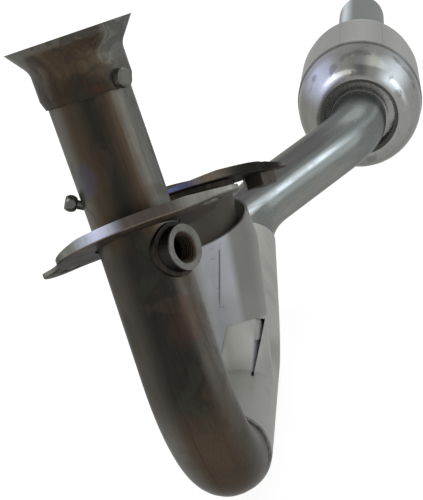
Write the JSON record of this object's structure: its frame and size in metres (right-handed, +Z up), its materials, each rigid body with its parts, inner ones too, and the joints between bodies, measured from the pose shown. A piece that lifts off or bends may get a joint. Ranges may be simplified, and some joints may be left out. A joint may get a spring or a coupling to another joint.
{
  "type": "exhaust y-pipe",
  "caption": "Exhaust Y-pipe: a flared front leg and a flanged rear leg join under a light sheet collector, and one outlet tube rises into a round catalytic converter with a long tail tube.",
  "frame": {"origin": "centre of the front inlet's flared mouth", "axes": "+Y along the converter and the tail tube, the way the gas leaves; +Z up, as fitted under a transverse V engine; +X to the right when looking along +Y"},
  "size_m": [0.2719, 1.0464, 0.3442],
  "materials": {
    "heat_tinted_steel": "heat-tinted stainless tube, satin",
    "plug_steel": "bright worn steel",
    "flange_steel": "pressed plate, heat tinted",
    "weld_steel": "weld bead",
    "dark_steel": "dark oxidised steel",
    "shield_steel": "light matte sheet steel",
    "tube_steel": "polished stainless tube",
    "cap_steel": "polished stainless sheet",
    "shell_steel": "matte stainless sheet",
    "ceramic": "ceramic honeycomb, modelled solid",
    "mat": "fibre mat"
  },
  "bodies": {
    "root": {"front_flare_sleeve": "heat_tinted_steel", "sleeve_plug": "plug_steel", "front_tube": "heat_tinted_steel", "stop_stud": "plug_steel", "front_flange": "flange_steel", "oxygen_bung": "heat_tinted_steel", "bung_weld": "weld_steel", "rear_tube": "heat_tinted_steel", "rear_flange": "flange_steel", "rear_flange_weld": "weld_steel", "weld_nut_left": "dark_steel", "weld_nut_right": "dark_steel", "leg_shield": "shield_steel", "collector_left": "shield_steel", "collector_right": "shield_steel", "collector_front_weld": "weld_steel", "outlet_tube": "tube_steel", "converter_inlet_cap": "cap_steel", "inlet_collar": "cap_steel", "converter_shell": "shell_steel", "ceramic_brick": "ceramic", "support_mat": "mat", "converter_outlet_cap": "shell_steel", "tail_tube": "shell_steel", "tail_weld": "weld_steel"}
  },
  "joints": []
}
